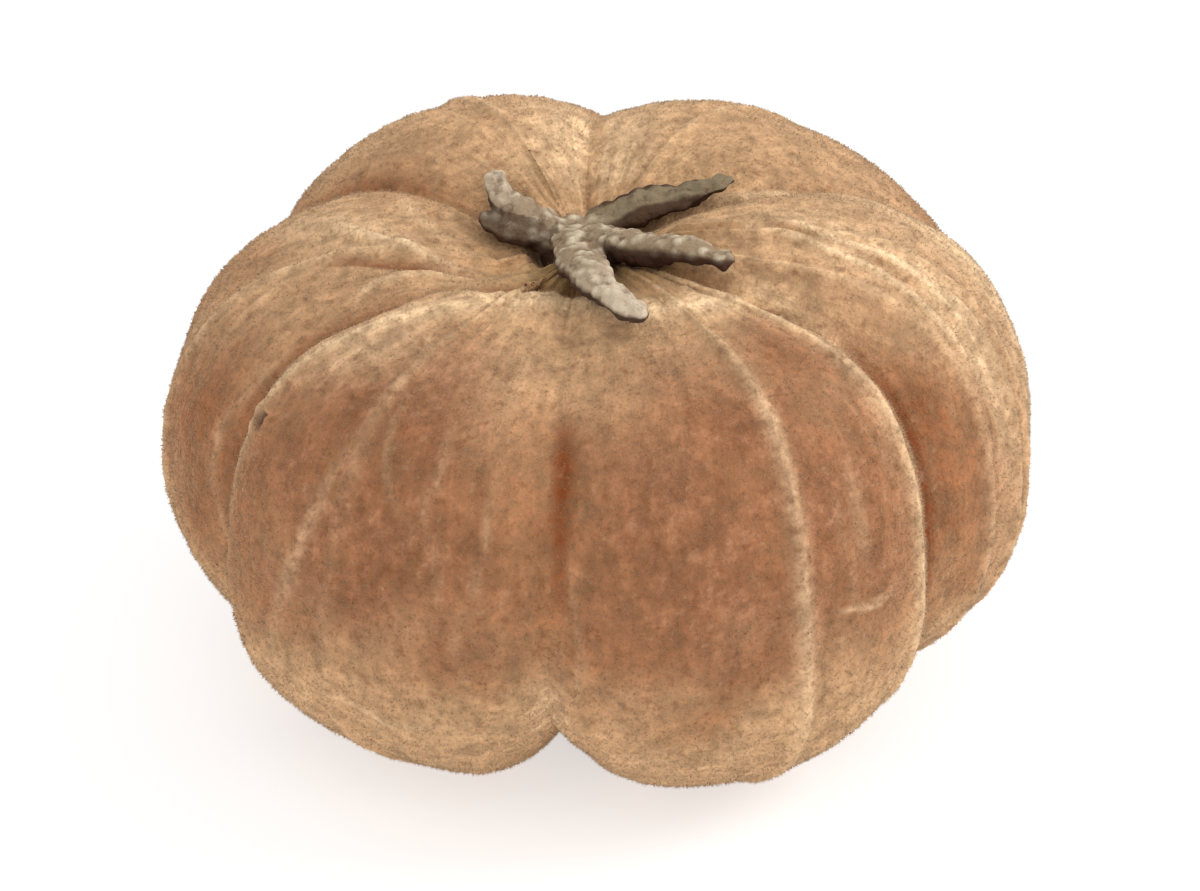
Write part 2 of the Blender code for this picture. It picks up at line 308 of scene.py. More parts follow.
# The fine wall over that body
wall = dict(
    columns=400,
    rings=240,
    turnSteps=7201,  # that the columns are laid out by
    gather=1.7,  # how much closer the columns stand at a vein or a crease
    gatherWidth=4.0,
    lumpGrain=2.8, lumpHeight=0.10,
    wrinkleGrain=1.0, wrinkleHeight=0.07, wrinkleStretch=0.22,
    grainRadius=12,  # of the tube that the wrinkles and streaks are laid on
    gritGrain=0.55, gritHeight=0.035, gritShift=40,
    ribCount=34, crownRibHeight=0.05, baseRibHeight=0.16,  # folds that run into the two hollows
    ribReach=(3.2, 1.6),  # where the ribs are highest, and how far they go on
    ribBends=(5, 2.5),  # how far lumps and wrinkles bend them
    # how pale each vein is, and the polar angle where that has faded
    veinPaleness=(
        (0.4, 125), (0.4, 125), (0.45, 125), (0.3, 84), (0.48, 125),
        (0.7, 125), (0.3, 125), (0.3, 125), (0.3, 125),
    ),
    # how dark the painted shade in each crease is near the crown, at the waist and near the base
    grooveShades=(
        (20, 0.3, 0.6, 0.5),
        (90, 0.0, 0.4, 0.6),
        (148, 0.6, 0.7, 0.6),
        (204, 0.8, 1.0, 0.9),
        (262, 0.0, 0.4, 0.0),
        (326, 0.6, 0.9, 0.7),
    ),
    # folds besides the veins: azimuth and polar angle of their points, half width, height,
    # and how pale (above 0) or dark (below 0) they are
    folds=(
        # left lobe: a sharp pale fold, the groove under it, darkened with painted shade, and a
        # second small fold
        (((166, 57), (169, 49), (175, 42), (179, 37), (182, 33), (187, 27)), 0.26, 0.32, 1.3),
        (((182, 50), (183, 45), (185, 39), (186, 31), (190, 26)), 0.22, -0.26, -1.0),
        (((196, 49), (192, 44), (189, 38), (189, 33), (193, 27)), 0.20, 0.16, 0.9),
        (((150, 44), (158, 38), (168, 32), (178, 25)), 0.30, 0.12, 0.4),
        # front lobes: their pale lip, where a painted highlight stands for the felt catching the
        # light along the crest, the hollow behind it, darkened with painted shade, and the crease
        # that ends at it
        (
            (
                (209, 82), (209, 67), (211, 57), (213, 49), (216, 43), (221, 36), (234, 32),
                (252, 28), (269, 27), (282, 33), (298, 36), (316, 39), (328, 41), (328, 47),
                (326, 54), (321, 60), (319, 68), (318, 80),
            ),
            0.62, 0.12, 1.0,
        ),
        (((208, 84), (209, 70), (211, 58), (213, 49), (216, 43), (222, 36)), 0.22, 0.06, 1.2),
        (
            (
                (204, 58), (203, 46), (203, 38), (208, 31), (220, 27), (240, 22), (262, 20),
                (284, 25),
            ),
            0.40, -0.35, -0.5,
        ),
        (((204, 14), (204, 24), (204, 34), (204, 46)), 0.8, 0.45, 0.0),
        # right lobe: the double ridge, the dark line in it, which is painted shade, the pale band
        # round it, a pale side of painted light on the lit right edge, and painted shade beside the
        # crease
        (
            (
                (2, 25), (354, 34), (351, 40), (348, 48), (347, 56), (346, 64), (345, 72),
                (346, 94),
            ),
            0.19, 0.16, 1.2,
        ),
        (
            (
                (354, 26), (349, 34), (347, 40), (345, 48), (343, 56), (342, 64), (342, 72),
                (342, 94),
            ),
            0.19, 0.16, 1.1,
        ),
        (
            (
                (357, 27), (351, 35), (349, 41), (347, 49), (345, 57), (344, 64), (344, 72),
                (344, 86),
            ),
            0.16, -0.10, -0.5,
        ),
        (((357, 28), (351, 44), (347, 60), (345, 74), (346, 92)), 1.2, 0.0, 0.7),
        (((14, 44), (9, 56), (5, 70), (3, 86), (4, 102)), 1.9, 0.0, 0.9),
        (((332, 54), (330, 62), (329, 72), (329, 84), (330, 98)), 1.0, 0.0, -0.45),
        (((26, 24), (23, 31), (21, 40), (17, 47), (8, 52), (1, 60)), 0.24, 0.14, 0.8),
        # a pale valley at the back, painted light against the shade in it, and a pale notch in
        # front, both without relief
        (((90, 16), (90, 26), (90, 38), (90, 52)), 2.2, 0.0, 0.9),
        (((262, 99), (262, 108), (262, 118), (262, 130)), 0.8, 0.0, 0.8),
        # the dark part of the front crease, which is painted shade, and the pale top of the left
        # lobe
        (((264, 56), (264.5, 63), (264.5, 70), (264, 78), (263, 90)), 0.5, -0.12, -0.95),
        (((158, 62), (166, 52), (174, 43), (180, 36)), 1.3, 0.0, 0.55),
        # painted shade in a rusty brown beside the left crease: beside the left part of the lip,
        # and below it on the left lobe
        (((213, 72), (212, 82), (212, 94), (214, 104)), 0.9, 0.0, -0.35),
        (((193, 66), (190, 76), (190, 90), (193, 104)), 1.4, 0.0, -0.4),
        # a pale shade under the left part of the lip, and a mauve one under its right part
        (((212, 64), (215, 57), (221, 49), (231, 42)), 1.3, 0.0, 0.42),
        (((303, 50), (308, 52), (313, 55), (316, 60)), 1.0, 0.0, -0.3),
        # small scratches and faint ribs, the first a branch of the left front vein
        (((231, 66), (228, 77), (224, 90), (221, 104)), 0.3, 0.12, 0.3),
        (((303, 90), (309, 91), (313, 90)), 0.12, 0.08, 0.7),
        (((232, 104), (240, 108), (247, 107)), 0.16, 0.08, 0.6),
        (((78, 52), (72, 66), (71, 84), (76, 100)), 0.24, 0.12, 0.5),
        (((128, 48), (132, 62), (131, 80), (127, 96)), 0.24, 0.12, 0.5),
    ),
    foldSteps=14,  # between two points of a fold
    foldTaper=0.6,
    # fine veins that branch down the lobes, laid by a rule
    sideVeins=dict(
        count=54, points=5, polars=(42, 112), length=(3.0, 7.0), drift=7.0,
        halfWidth=0.15, height=0.05, tone=0.28, sizes=(0.5, 1.0), seed=5,
    ),
    # torn dark spots: azimuth, polar angle, half width, depth
    scars=(
        (210.5, 71, 0.36, 0.3),
        (226, 127, 0.34, 0.2),
        (64, 98, 0.3, 0.15),
        (125, 70, 0.22, 0.12),
    ),
    # in half widths of a scar: how uneven it is, where its colour ends, and where its rim lies
    scarUnevenness=0.6,
    scarEdge=(0.7, 1.2),
    scarRim=dict(height=0.5, middle=1.3, width=0.4),  # its height is a share of the depth
)

# Where the wall changes colour. A start or an end is the pair of polar angles between which
# a colour comes in or goes out.
tints = dict(
    # share and width of the painted shade in a crease: its dark line, and the softer shade beside
    # it
    grooveLines=((0.65, 0.42), (0.45, 1.1)),
    groovePolars=(52, 76, 112),
    grooveStart=(25, 50),
    veinStart=(18, 40),
    veinFade=28,
    veinLoss=0.8,
    # the front lobes are brown higher up than the others, and dustier
    frontAzimuth=265,
    frontEdge=(0.1, 0.7),  # in cosines of the angle from the front
    frontRise=13,  # degrees by which they are
    # how far lumps and waves shift the edge of the brown, and how many waves go round
    raggedness=(12, 4, 5),
    flankStart=(56, 82),
    flankEnd=(84, 110),
    creaseLoss=0.6,
    # the brown gives way at the right edge, partly to paler straw and partly as painted light where
    # that edge is lit
    rightBand=(353, 11, 0.8),  # azimuth, half width and loss of brown
    # the left lobe stays pale further down than the others
    leftTop=(180, 20, 0.6),  # in the same form
    leftTopEnd=(62, 88),
    dustStart=(38, 50),
    dustEnd=(88, 106),
    dustElsewhere=0.35,  # on the lobes that aren't in front
    rustPlace=(0.7, 0.25),  # place across a lobe, and half width
    rustStart=(60, 80),
    rustEnd=(80, 100),
    rustSpot=(282, 15, 55, 9),  # azimuth, half width, polar angle, half height
    # the tints round the two hollows: millimetres from the axis between which each goes out,
    # the polar angle that it keeps to, and the crown's share on the other lobes
    crownReach=(2.5, 6.5),
    crownEnd=80,
    crownElsewhere=0.15,
    baseReach=(3.0, 8.0),
    baseStart=110,
)


def columnAngles():
    marks = np.array([line[0] for line in pod["creases"] + pod["veins"]], float)
    turn = np.linspace(0, 360, wall["turnSteps"])
    near = bell(turned(turn[:, None], marks), wall["gatherWidth"]).sum(axis=1)
    density = 1 + wall["gather"] * np.minimum(1, near)
    filled = np.concatenate(([0], np.cumsum(density[1:] + density[:-1])))
    steps = np.arange(wall["columns"]) / wall["columns"]
    return np.interp(steps * filled[-1], filled, turn)


def gridNormals(points):
    east = np.roll(points, -1, axis=1) - np.roll(points, 1, axis=1)
    normal = np.cross(np.gradient(points, axis=0), east)
    return normal / np.linalg.norm(normal, axis=-1, keepdims=True)


# All folds and side veins of the wall, in the form that the folds are written in
def wallLines():
    lines = list(wall["folds"])
    branch = wall["sideVeins"]
    draw = np.random.default_rng(branch["seed"])
    steps = np.linspace(0, 1, branch["points"])
    for _ in range(branch["count"]):
        azimuth, polar = draw.uniform(0, 360), draw.uniform(*branch["polars"])
        length = np.degrees(draw.uniform(*branch["length"]) / pod["waistRadius"])
        bend = draw.uniform(-branch["drift"], branch["drift"])
        places = zip(azimuth + bend * steps**2, polar + length * steps)
        size = draw.uniform(*branch["sizes"])
        height, tone = branch["height"] * size, branch["tone"] * size
        lines.append((tuple(places), branch["halfWidth"], height, tone))
    return lines


# How near each point is to a fold, from 0 to 1
def foldShare(points, places, halfWidth):
    azimuth, polar = np.array(places, float).T
    steps = np.arange(len(polar))
    way = np.linspace(0, steps[-1], wall["foldSteps"] * len(steps))
    line = huskForm(np.interp(way, steps, azimuth) % 360, np.radians(np.interp(way, steps, polar)))
    room = 4 * halfWidth
    near = ((points > line.min(axis=0) - room) & (points < line.max(axis=0) + room)).all(axis=-1)
    gap = np.linalg.norm(points[near][:, None] - line, axis=-1)
    taper = np.sin(math.pi * np.clip(way / way[-1], 0.01, 0.99)) ** wall["foldTaper"]
    share = np.zeros(points.shape[:-1])
    share[near] = bell(gap.min(axis=1), halfWidth) * taper[gap.argmin(axis=1)]
    return share


# How dark the painted shade in the creases is, on top of the dark folds
def grooveMask(azimuth, degrees, reach, dark):
    groove = dark
    for middle, *shades in wall["grooveShades"]:
        off = np.radians(turned(azimuth, middle)) * reach
        lines = sum(share * bell(off, width) for share, width in tints["grooveLines"])
        shade = lines * np.interp(degrees, tints["groovePolars"], shades)
        groove = np.maximum(groove, shade * smooth(degrees, *tints["grooveStart"]))
    return groove


# How pale the veins are, on top of the pale folds, some of which are painted highlight and painted
# light
def veinMask(azimuth, degrees, pale):
    veins = 0 * pale
    for share, (tone, end) in zip(veinShare(azimuth), wall["veinPaleness"]):
        faded = tints["veinLoss"] * smooth(degrees, end - tints["veinFade"], end)
        veins = np.maximum(veins, share * tone * (1 - faded))
    return np.maximum(veins * smooth(degrees, *tints["veinStart"]), pale)


# How brown the flanks of the lobes are
def flankMask(azimuth, degrees, across, lumps, front):
    lumpShift, waveShift, waves = tints["raggedness"]
    ragged = degrees + lumpShift * lumps + waveShift * np.sin(waves * np.radians(azimuth))
    flank = smooth(ragged + tints["frontRise"] * front, *tints["flankStart"])
    flank = flank * (1 - smooth(ragged, *tints["flankEnd"]))
    middle, width, loss = tints["rightBand"]
    flank = flank * (1 - loss * bell(turned(azimuth, middle), width))
    middle, width, loss = tints["leftTop"]
    left = bell(turned(azimuth, middle), width) * (1 - smooth(degrees, *tints["leftTopEnd"]))
    return flank * (1 - loss * left) * (1 - tints["creaseLoss"] * np.abs(across) ** 3)


def rustMask(azimuth, degrees, across):
    middle, width = tints["rustPlace"]
    rust = bell(np.abs(across) - middle, width) * smooth(degrees, *tints["rustStart"])
    rust = rust * (1 - smooth(degrees, *tints["rustEnd"]))
    middle, width, down, tall = tints["rustSpot"]
    spot = (turned(azimuth, middle) / width) ** 2 + ((degrees - down) / tall) ** 2
    return np.maximum(rust, np.exp(-spot))


# What the material needs to know about each point of the wall, each from 0 to about 1
def wallMasks(azimuth, polar, points, lumps, pale, dark, torn):
    across = lobePlace(azimuth)[1]
    degrees = np.degrees(polar)
    reach = np.hypot(points[..., 0], points[..., 1])
    front = smooth(np.cos(np.radians(azimuth - tints["frontAzimuth"])), *tints["frontEdge"])
    dust = smooth(degrees, *tints["dustStart"]) * (1 - smooth(degrees, *tints["dustEnd"]))
    least = tints["dustElsewhere"]
    dust = dust * (1 - across**4) * (least + (1 - least) * front)
    least = tints["crownElsewhere"]
    crown = (1 - smooth(reach, *tints["crownReach"])) * (degrees < tints["crownEnd"])
    base = (1 - smooth(reach, *tints["baseReach"])) * (degrees > tints["baseStart"])
    return dict(
        vein=veinMask(azimuth, degrees, pale),
        groove=grooveMask(azimuth, degrees, reach, dark),
        flank=flankMask(azimuth, degrees, across, lumps, front),
        rust=rustMask(azimuth, degrees, across),
        dust=dust,
        crown=crown * (least + (1 - least) * front),
        base=base,
        torn=torn,
    )


# Adds the scars to the relief, and says where the wall is torn
def addScars(plain, grit, relief):
    torn = np.zeros_like(grit)
    rim = wall["scarRim"]
    for spot, middle, halfWidth, depth in wall["scars"]:
        centre = huskForm(np.array(float(spot)), np.array(math.radians(middle)))
        off = np.linalg.norm(plain - centre, axis=-1) / halfWidth + wall["scarUnevenness"] * grit
        torn = np.maximum(torn, 1 - smooth(off, *wall["scarEdge"]))
        edge = rim["height"] * bell(off - rim["middle"], rim["width"])
        relief = relief + depth * (edge - np.exp(-(off**4)))
    return relief, torn


def makeWall():
    azimuth = columnAngles()[None, :]
    polar = (math.pi * (np.arange(wall["rings"]) + 1) / (wall["rings"] + 1))[:, None]
    plain = huskForm(azimuth, polar)
    cad = [np.array(corner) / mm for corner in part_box("pod_husk")]
    low, high = plain.min(axis=(0, 1)), plain.max(axis=(0, 1))
    shift = (cad[0] + cad[1] - low - high) / 2
    shift[2] = cad[1][2] - high[2]
    reach = np.hypot(plain[..., 0], plain[..., 1])
    turn = np.radians(azimuth)
    along = np.cumsum(np.linalg.norm(np.diff(plain, axis=0, prepend=plain[:1]), axis=-1), axis=0)
    around = wall["grainRadius"] * np.stack([np.cos(turn), np.sin(turn)], axis=-1)
    around = np.broadcast_to(around, (*reach.shape, 2))
    grainPlace = np.concatenate([around, (along * wall["wrinkleStretch"])[..., None]], axis=-1)
    flat = plain.reshape(-1, 3)
    lumps = noiseAt(flat, wall["lumpGrain"]).reshape(reach.shape)
    wrinkles = noiseAt(grainPlace.reshape(-1, 3), wall["wrinkleGrain"]).reshape(reach.shape)
    grit = noiseAt(flat + wall["gritShift"], wall["gritGrain"]).reshape(reach.shape)
    lumpBend, wrinkleBend = wall["ribBends"]
    ribs = np.sin(wall["ribCount"] * turn + lumpBend * lumps + wrinkleBend * wrinkles)
    highest, spread = wall["ribReach"]
    ribHeight = np.where(np.cos(polar) > 0, wall["crownRibHeight"], wall["baseRibHeight"])
    ribs = ribs * bell(reach - highest, spread) * ribHeight
    relief = wall["lumpHeight"] * lumps + wall["wrinkleHeight"] * wrinkles
    relief = (relief + wall["gritHeight"] * grit) * awayFromPoles(polar) + ribs
    pale, dark = np.zeros_like(reach), np.zeros_like(reach)
    for places, halfWidth, height, tone in wallLines():
        share = foldShare(plain, places, halfWidth)
        relief = relief + share * height
        pale, dark = np.maximum(pale, share * tone), np.maximum(dark, -share * tone)
    relief, torn = addScars(plain, grit, relief)
    fine = plain + gridNormals(plain) * relief[..., None] + shift
    fine[..., 2] = np.maximum(fine[..., 2], 0)
    masks = wallMasks(azimuth, polar, plain, lumps, pale, dark, torn)
    return fine, masks, shift, grainPlace


wallPoints, wallMask, shift, grainPlace = makeWall()
print("husk wall worked out")


def closeGrid(points, first, last):
    rings, columns = points.shape[:2]
    place = np.arange(rings * columns).reshape(rings, columns)
    following = np.roll(place, -1, axis=1)
    quads = np.stack([place[:-1], place[1:], following[1:], following[:-1]], axis=-1)
    top, bottom = rings * columns, rings * columns + 1
    caps = [(top, a, b) for a, b in zip(place[0].tolist(), following[0].tolist())]
    caps += [(bottom, b, a) for a, b in zip(place[-1].tolist(), following[-1].tolist())]
    return np.vstack([points.reshape(-1, 3), first, last]), quads.reshape(-1, 4).tolist() + caps


# Values of a grid as one list, with the mean of the end rings for the two end points
def asList(grid):
    return np.concatenate([grid.ravel(), [grid[0].mean(), grid[-1].mean()]])


# Dry felted seed husk: matt, with a soft pale edge where the felt catches the light; its colours
# also hold painted shade in the creases and hollows and painted highlights along the lip
felt = dict(
    straw="C89E75",
    layers=(
        # mask, colour, share at full mask, how far noise breaks it up
        ("flank", "92542C", 0.9, 0.3),
        ("rust", "9C6038", 0.4, 0.4),
        ("dust", "A4785A", 0.42, 0.7),
        ("crown", "A9874F", 0.7, 0.4),
        ("base", "7C5638", 0.7, 0.5),
        # groove: the creases and the dark folds, darkened mostly with painted shade in an
        # orange-brown
        ("groove", "7E401C", 0.95, 0.3),
        # vein: pale veins and folds, with the painted highlight on the lip and painted light on the
        # right edge and the back valley
        ("vein", "EECBA0", 0.9, 0.3),
        ("torn", "3A2417", 0.9, 0.1),
    ),
    breakupRange=(0.75, 1.25),
    # grain, detail and roughness of each noise
    patch=(2.2, 3.0, 0.6),
    mottle=(0.5, 3.0, 0.65),
    blotch=(1.1, 2.0, 0.6),
    streak=(0.45, 2.0, 0.6),
    speck=(0.4, 2.0, 0.6),
    felting=(0.16, 2.0, 0.7),
    # streaks down the lobes, blotches and felt grains: noise, its range, and shares of light
    shades=(
        ("streak", 0.35, 0.65, 0.90, 1.08),
        ("blotch", 0.35, 0.65, 0.80, 1.14),
        ("mottle", 0.35, 0.65, 0.80, 1.16),
    ),
    # dark and pale specks: range of the noise, colour, share at most
    specks=((0.56, 0.70, "74401F", 0.38), (0.40, 0.28, "DDB892", 0.15)),
    hair="EBCFAE",
    hairPaleness=0.22,
    reliefHeight=0.08,
)


def feltedHusk():
    material, tree, shader = startMaterial(
        "felted_seed_husk",
        {
            "Roughness": 0.92,
            "IOR": 1.45,
            "Specular IOR Level": 0.2,
            "Sheen Weight": 0.7,
            "Sheen Roughness": 0.35,
            "Sheen Tint": linear("F2C99C"),
        },
    )
    place = addNode(tree, "ShaderNodeTexCoord").outputs["Object"]
    grain = addNode(tree, "ShaderNodeAttribute", attribute_name="grainPlace").outputs["Vector"]
    names = ("patch", "mottle", "blotch", "speck", "felting")
    noises = {name: noiseOf(tree, place, felt[name], mm) for name in names}
    noises["streak"] = noiseOf(tree, grain, felt["streak"], 1)  # grainPlace is in millimetres
    broken = added(tree, noises["patch"], noises["mottle"])
    colour = plainColour(tree, felt["straw"])
    for mask, code, strength, breakup in felt["layers"]:
        least, most = strength * (1 - breakup), strength * (1 + breakup)
        uneven = ranged(tree, broken, *felt["breakupRange"], least, most)
        share = addNode(
            tree, "ShaderNodeMath", {0: maskOf(tree, mask), 1: uneven},
            operation="MULTIPLY", use_clamp=True,
        ).outputs[0]
        colour = mixed(tree, colour, share, code)
    for name, low, high, dark, pale in felt["shades"]:
        light = ranged(tree, noises[name], low, high, dark, pale)
        colour = addNode(
            tree, "ShaderNodeMix", {6: colour, 7: light}, {0: 1.0},
            data_type="RGBA", blend_type="MULTIPLY",
        ).outputs[2]
    for low, high, code, most in felt["specks"]:
        colour = mixed(tree, colour, ranged(tree, noises["speck"], low, high, 0.0, most), code)
    hairShare = addNode(
        tree, "ShaderNodeMath", {0: maskOf(tree, "hair")}, {1: felt["hairPaleness"]},
        operation="MULTIPLY",
    ).outputs[0]
    colour = mixed(tree, colour, hairShare, felt["hair"])
    height = added(tree, added(tree, noises["felting"], noises["mottle"]), noises["streak"])
    finishMaterial(tree, shader, colour, height, felt["reliefHeight"])
    return material


huskMaterial = feltedHusk()
ends = [wallPoints[0].mean(axis=0), wallPoints[-1].mean(axis=0)]
points, faces = closeGrid(wallPoints, *ends)
masks = {name: asList(values) for name, values in wallMask.items()}
husk = addPiece("husk_wall", points, faces, huskMaterial, masks, "pod_husk")
layer = husk.data.attributes.new("grainPlace", "FLOAT_VECTOR", "POINT")
flatPlaces = np.vstack([grainPlace.reshape(-1, 3), grainPlace[0, 0], grainPlace[-1, 0]])
layer.data.foreach_set("vector", flatPlaces.astype(np.float32).ravel())

# The felt: short hairs that stand on the wall, in bands from the crown down
coat = dict(
    bands=("husk_felt_crown", "husk_felt_shoulders", "husk_felt_flanks", "husk_felt_base"),
    hairsPerBand=42000,
    length=(0.08, 0.16),
    width=0.034,
    sunk=0.03,
    lean=0.9,
    seed=11,
)


def makeCoat():
    draw = np.random.default_rng(coat["seed"])
    corners = wallPoints[:-1], wallPoints[1:]
    sides = np.roll(corners[0], -1, axis=1) - corners[0], corners[1] - corners[0]
    area = np.linalg.norm(np.cross(*sides), axis=-1)
    count = coat["hairsPerBand"] * len(coat["bands"])
    picked = np.sort(draw.choice(area.size, size=count, p=(area / area.sum()).ravel()))
    ring, column = np.unravel_index(picked, area.shape)
    east, down = draw.random((2, count, 1))
    root = corners[0][ring, column] + sides[0][ring, column] * east + sides[1][ring, column] * down
    normal = gridNormals(wallPoints)[ring, column]
    lean = draw.normal(0, coat["lean"], root.shape)
    lean -= (lean * normal).sum(axis=1, keepdims=True) * normal
    way = normal + lean
    way /= np.linalg.norm(way, axis=1, keepdims=True)
    tip = root + way * draw.uniform(*coat["length"], (count, 1))
    side = np.cross(way, draw.normal(0, 1, way.shape))
    side /= np.linalg.norm(side, axis=1, keepdims=True)
    other = np.cross(way, side)
    foot = root - normal * coat["sunk"]
    turns = [2 * math.pi * k / 3 for k in range(3)]
    feet = [foot + (side * math.cos(t) + other * math.sin(t)) * coat["width"] / 2 for t in turns]
    hairs = np.stack([*feet, tip], axis=1)
    shape = np.array([(0, 2, 1), (0, 1, 3), (1, 2, 3), (2, 0, 3)])
    # a hair that would reach below the floor is left out
    kept = hairs[..., 2].min(axis=1) > 0
    for name, band in zip(coat["bands"], np.split(np.arange(count), len(coat["bands"]))):
        band = band[kept[band]]
        faces = (4 * np.arange(len(band))[:, None, None] + shape).reshape(-1, 3).tolist()
        place = ring[band], column[band]
        masks = {mask: np.repeat(values[place], 4) for mask, values in wallMask.items()}
        masks["hair"] = np.ones(4 * len(band))
        piece = addPiece(name, hairs[band].reshape(-1, 3), faces, huskMaterial, masks)
        layer = piece.data.attributes.new("grainPlace", "FLOAT_VECTOR", "POINT")
        places = np.repeat(grainPlace[place], 4, axis=0)
        layer.data.foreach_set("vector", places.astype(np.float32).ravel())
        shading = np.repeat(normal[band], 4, axis=0).tolist()
        piece.data.normals_split_custom_set_from_vertices(shading)


makeCoat()


# How the crown's heights are found: the polar angle where the search starts, the times that
# it is halved, and the rounds that find the azimuth
search = dict(edge=70, halvings=30, pulls=8)


# Heights of the plain crown at these places, by halving the polar angle
def crownHeight(x, y):
    across, ahead = x - pod["crownLean"], y / pod["frontToBack"]
    azimuth, reach = np.degrees(np.arctan2(ahead, across)), np.hypot(across, ahead)
    low, high = np.zeros_like(reach), np.full_like(reach, math.radians(search["edge"]))
    for _ in range(search["halvings"]):
        middle = (low + high) / 2
        source = azimuth
        for _ in range(search["pulls"]):
            source = azimuth - crownPull(source, middle)
        found = huskForm(source % 360, middle)
        east, north = found[..., 0] - pod["crownLean"], found[..., 1] / pod["frontToBack"]
        inside = np.hypot(east, north) < reach
        low, high = np.where(inside, middle, low), np.where(inside, high, middle)
    return found[..., 2]


# The highest of the crown round these places
def crownUnder(x, y, room):
    steps = (-room, 0, room)
    return np.max([crownHeight(x + east, y + north) for east in steps for north in steps], axis=0)


# The withered star: the arms as the frame has them, with a leaf share for the flat one
star = dict(
    arms=(
        # root azimuth, turn, length, half width, half thickness, tip lift, leaf share
        (160, -18, 3.3, 0.72, 0.54, 0.1, 0.0),
        (184, -22, 3.1, 0.50, 0.40, 0.0, 0.0),
        (274, 13, 7.7, 0.74, 0.55, 0.0, 0.0),
        (22, -13, 5.4, 0.86, 0.34, 0.0, 1.0),
        (305, 12, 7.2, 0.70, 0.54, 0.0, 0.0),
    ),
    # for each arm: paleness of its tip, painted shadow over the whole arm, painted shade on its
    # sides that face down
    armTones=((0.6, 0, 0), (0, 0.7, 0), (1, 0, 0), (0, 0, 0), (0, 0, 1)),
    clearance=0.3,
    # how an arm lies: over the highest of the crown within this share of its half width, by
    # these shares of the clearance and of its half thickness
    lyingShares=(0.7, 0.3, 1.1),
    standLength=2.2,  # an arm comes down from the hub within 1 / 2.2 of its length
    club=0.30,
    clubRoot=0.78,
    clubReach=1.15,
    taper=0.15,
    taperPower=6,
    leafRoot=0.35,
    leafSwell=0.85,
    leafPower=0.8,
    leafReach=(0.92, 0.05),  # how much of a half wave its outline is, and where that starts
    tipLength=0.5,  # of the rounded tip, in half widths
    rings=40,
    sides=24,
    hubRadius=1.05,
    hubRise=1.7,
    hubCap=0.1,
    hubFoot=(0.5, 0.5),  # the same for the hub, in shares of its radius and the clearance
    # shares of the hub's radius and rise, from its top down
    hubProfile=((0.80, 0.92), (1.00, 0.62), (0.95, 0.20), (0.9, -0.25)),
    voxel=0.075,
    crustGrain=0.46,
    crustHeight=0.18,
    crustMiddle=0.35,
    crustFall=1.6,  # how fast the pale crust ends beside a bump
    furrowGrain=0.9,
    furrowHeight=0.12,
    fineFurrows=dict(grain=0.4, share=0.5, shift=9),
    leafSmoothness=0.7,  # how much less crust the flat arm has
    # shares of an arm's length, or of its half width, where a tone sets in
    leafStart=(0.1, 0.3),
    leafEdge=(0.5, 0.8),
    tipStart=(0.45, 0.95),
    # where the painted shade on an arm's downward sides fades out, going up
    sideSlope=(0.35, 0.75),  # in heights of the normal
)


def armRings(arm, hubTop):
    azimuth, bend, length, halfWidth, halfThickness, lift, leaf = arm
    along = np.linspace(0, 1, star["rings"])
    turn = np.radians(azimuth + bend * along**2)
    x, y = length * along * np.cos(turn) + pod["starX"], length * along * np.sin(turn)
    room, gap, body = star["lyingShares"]
    under = crownUnder(x, y, halfWidth * room)
    lying = under + star["clearance"] * gap + halfThickness * body + lift * along**2
    stand = 1 - np.minimum(1, along * star["standLength"])
    height = np.maximum(lying, lying * (1 - stand) + hubTop * stand)
    centres = np.stack([x, y, height], axis=-1)
    ahead = np.gradient(centres, axis=0)
    ahead /= np.linalg.norm(ahead, axis=1, keepdims=True)
    side = np.cross(ahead, (0, 0, 1))
    side /= np.linalg.norm(side, axis=1, keepdims=True)
    up = np.cross(side, ahead)
    swollen = np.sin(math.pi * np.minimum(1, along * star["clubReach"]))
    size = star["clubRoot"] + star["club"] * swollen
    size = size * (1 - star["taper"] * along ** star["taperPower"])
    stretch, start = star["leafReach"]
    swollen = np.sin(math.pi * np.clip(along * stretch + start, 0, 1)) ** star["leafPower"]
    size = size * (1 - leaf) + (star["leafRoot"] + star["leafSwell"] * swollen) * leaf
    angle = 2 * math.pi * np.arange(star["sides"]) / star["sides"]
    across = side[:, None] * (np.cos(angle)[None, :] * (size * halfWidth)[:, None])[..., None]
    above = up[:, None] * (np.sin(angle)[None, :] * (size * halfThickness)[:, None])[..., None]
    return centres[:, None] + across + above, centres


def hubMesh(floor):
    angle = 2 * math.pi * np.arange(star["sides"]) / star["sides"]
    rings = []
    for share, rise in star["hubProfile"]:
        radius, height = star["hubRadius"] * share, floor + star["hubRise"] * rise
        x, y = radius * np.cos(angle) + pod["starX"], radius * np.sin(angle)
        rings.append(np.stack([x, y, np.full(len(angle), height)], axis=-1))
    hub = np.array(rings)
    return closeGrid(hub, hub[0].mean(axis=0) + (0, 0, star["hubCap"]), hub[-1].mean(axis=0))


# One skin round several closed meshes, as its points, their normals and its faces
def fused(parts):
    allPoints, allFaces = [], []
    for points, faces in parts:
        start = sum(len(p) for p in allPoints)
        allPoints.append(points)
        allFaces += [tuple(start + i for i in face) for face in faces]
    rough = bpy.data.meshes.new("star_rough")
    rough.from_pydata(np.vstack(allPoints).tolist(), [], allFaces)
    holder = bpy.data.objects.new("star_rough", rough)
    bpy.context.scene.collection.objects.link(holder)
    fuse = holder.modifiers.new("fuse", "REMESH")
    fuse.mode = "VOXEL"
    fuse.voxel_size = star["voxel"]
    bpy.context.view_layer.update()
    solid = bpy.data.meshes.new_from_object(
        holder.evaluated_get(bpy.context.evaluated_depsgraph_get())
    )
    bpy.data.objects.remove(holder)
    points = np.array([v.co for v in solid.vertices])
    normals = np.array([v.normal for v in solid.vertices])
    return points, normals, [tuple(face.vertices) for face in solid.polygons]


